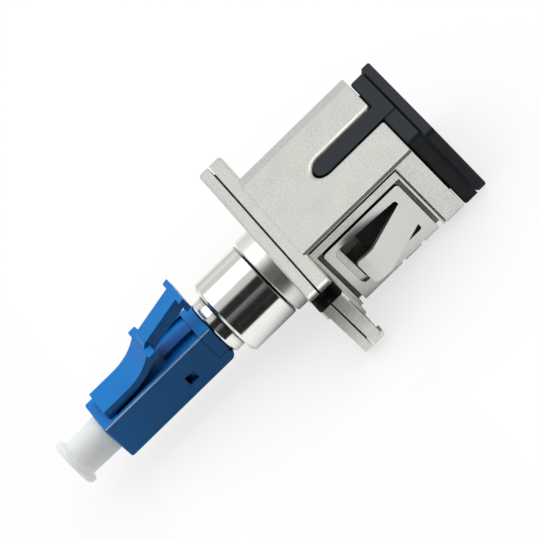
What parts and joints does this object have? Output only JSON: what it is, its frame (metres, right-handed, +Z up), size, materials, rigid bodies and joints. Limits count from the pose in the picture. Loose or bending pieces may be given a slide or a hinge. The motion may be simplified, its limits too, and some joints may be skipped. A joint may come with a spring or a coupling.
{
  "type": "hybrid fibre adapter",
  "caption": "Fibre-optic adapter with a latched small-form plug at one end, a flanged square jack with a panel clip at the other, and a pull-off cap on each end.",
  "frame": {"origin": "on the optical axis, in the plane of the flange's front face, which meets the panel", "axes": "+Y along the optical axis towards the jack's mouth, +Z up towards the keyway and the latch, +X to the right when looking from the plug into the jack"},
  "size_m": [0.022, 0.0417, 0.0113],
  "materials": {
    "pearl_nickel": "die-cast zinc, bead blasted and nickel plated to a fine pearl grain",
    "bright_nickel": "turned brass, polished and nickel plated to a mirror",
    "stainless": "cold-rolled stainless, faint rolling grain",
    "blue_plastic": "moulded blue polymer with a soft gloss",
    "natural_plastic": "moulded natural polymer",
    "zirconia": "ground and polished zirconia",
    "buffer": "extruded fibre buffer",
    "white_cap": "moulded soft polyethylene, slightly translucent",
    "black_cap": "moulded black polyethylene with a fine matt texture"
  },
  "bodies": {
    "adapter": {"sc_housing": "pearl_nickel", "rear_flange": "pearl_nickel", "flange_rivets": "stainless", "panel_clip": "stainless", "barrel": "bright_nickel", "lc_backbone": "bright_nickel", "sc_insert": "natural_plastic", "sleeve_retainer": "natural_plastic", "alignment_sleeve": "zirconia", "sc_ferrule": "zirconia", "ferrule_holder": "stainless", "fibre_lead": "buffer", "lc_housing": "blue_plastic", "lc_rear_collar": "blue_plastic", "lc_spring": "stainless"},
    "floating_ferrule": {"lc_ferrule": "zirconia", "lc_ferrule_flange": "stainless"},
    "latch": {"lc_latch": "blue_plastic"},
    "jack_cap": {"sc_dust_cap": "black_cap"},
    "ferrule_cap": {"lc_dust_cap": "white_cap"}
  },
  "joints": [
    {"name": "jack_cap_pull", "type": "slide", "parent": "adapter", "child": "jack_cap", "axis": [0, 1, 0], "range_m": [0, 0.0115]},
    {"name": "ferrule_cap_pull", "type": "slide", "parent": "adapter", "child": "ferrule_cap", "axis": [0, -1, 0], "range_m": [0, 0.006]},
    {"name": "latch_press", "type": "hinge", "parent": "adapter", "child": "latch", "pos_m": [0, -0.02135, 0.0021], "axis": [-1, 0, 0], "range_deg": [0, 8], "stiffness_Nm_per_rad": 0.14},
    {"name": "ferrule_float", "type": "slide", "parent": "adapter", "child": "floating_ferrule", "axis": [0, 1, 0], "range_m": [0, 0.0005], "stiffness_N_per_m": 1500, "deforming": ["lc_spring"]}
  ]
}
